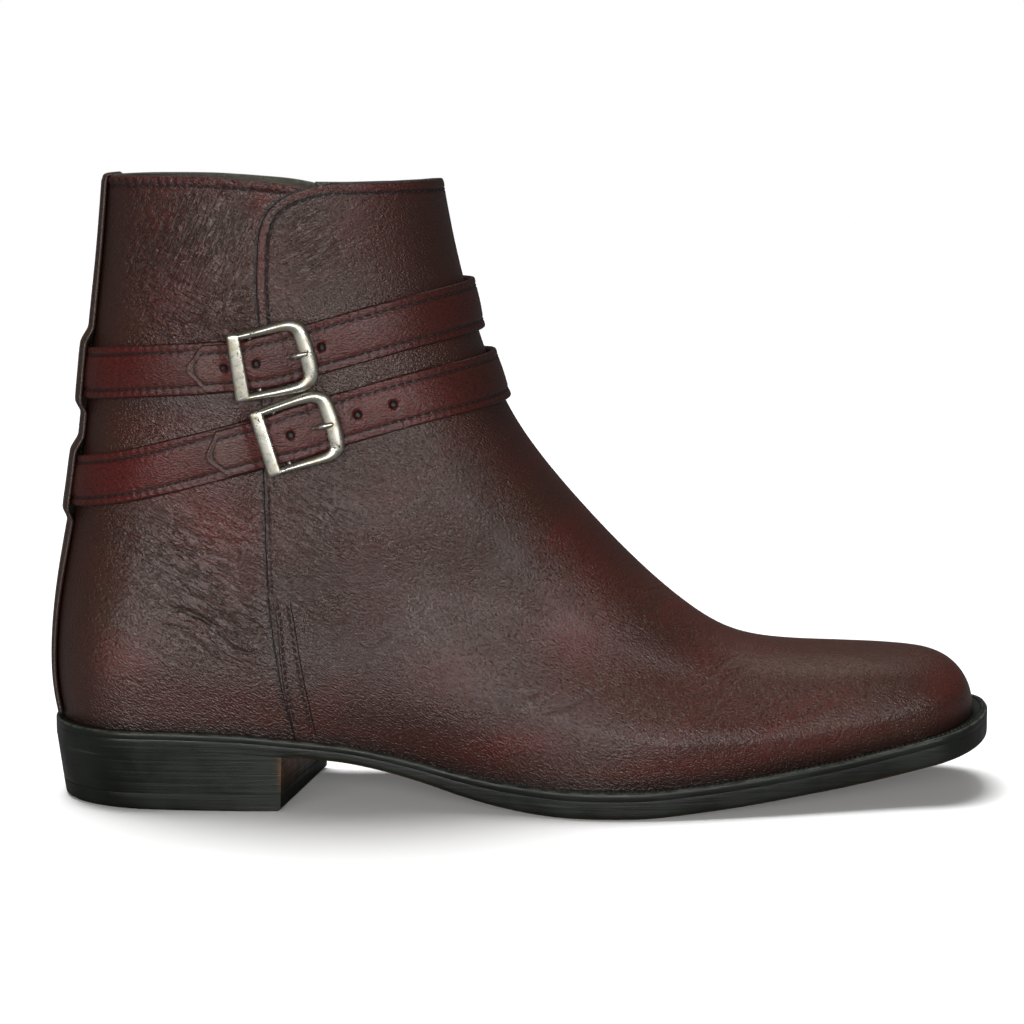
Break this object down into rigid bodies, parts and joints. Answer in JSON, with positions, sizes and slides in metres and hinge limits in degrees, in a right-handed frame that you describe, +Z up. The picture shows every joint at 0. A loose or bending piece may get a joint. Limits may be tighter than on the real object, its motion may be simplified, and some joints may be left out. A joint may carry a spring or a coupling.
{
  "type": "jodhpur boot",
  "caption": "Right ankle boot in burgundy leather with a squared toe, low stacked heel, and straps buckled round the shaft on its outer side; stands empty on its sole.",
  "frame": {"origin": "on the floor, on the heel's flat underside, 32 mm forward of the back of the sole and midway across the heel", "axes": "+X from heel to toe, +Y towards the inner (medial) side, +Z up; the buckles are on the -Y (outer) side"},
  "size_m": [0.3068, 0.1029, 0.2015],
  "materials": {
    "upper_leather": "polished burgundy brown, fine grain",
    "strap_leather": "polished burgundy red, stitched",
    "sole_edge": "black edge dressing, waxed",
    "heel_block": "black stacked leather, waxed",
    "heel_rubber": "matt black",
    "insole": "plain tan",
    "buckle_metal": "antiqued nickel, worn bright on its edges"
  },
  "bodies": {
    "root": {"outsole": "sole_edge", "welt": "sole_edge", "heel_stack": "heel_block", "heel_top_piece": "heel_rubber", "insole": "insole", "upper": "upper_leather", "backstay": "strap_leather", "strap_upper_short": "strap_leather", "strap_upper_long": "strap_leather", "strap_lower_short": "strap_leather", "strap_lower_long": "strap_leather", "buckle_upper_frame": "buckle_metal", "buckle_upper_prong": "buckle_metal", "buckle_lower_frame": "buckle_metal", "buckle_lower_prong": "buckle_metal"}
  },
  "joints": []
}
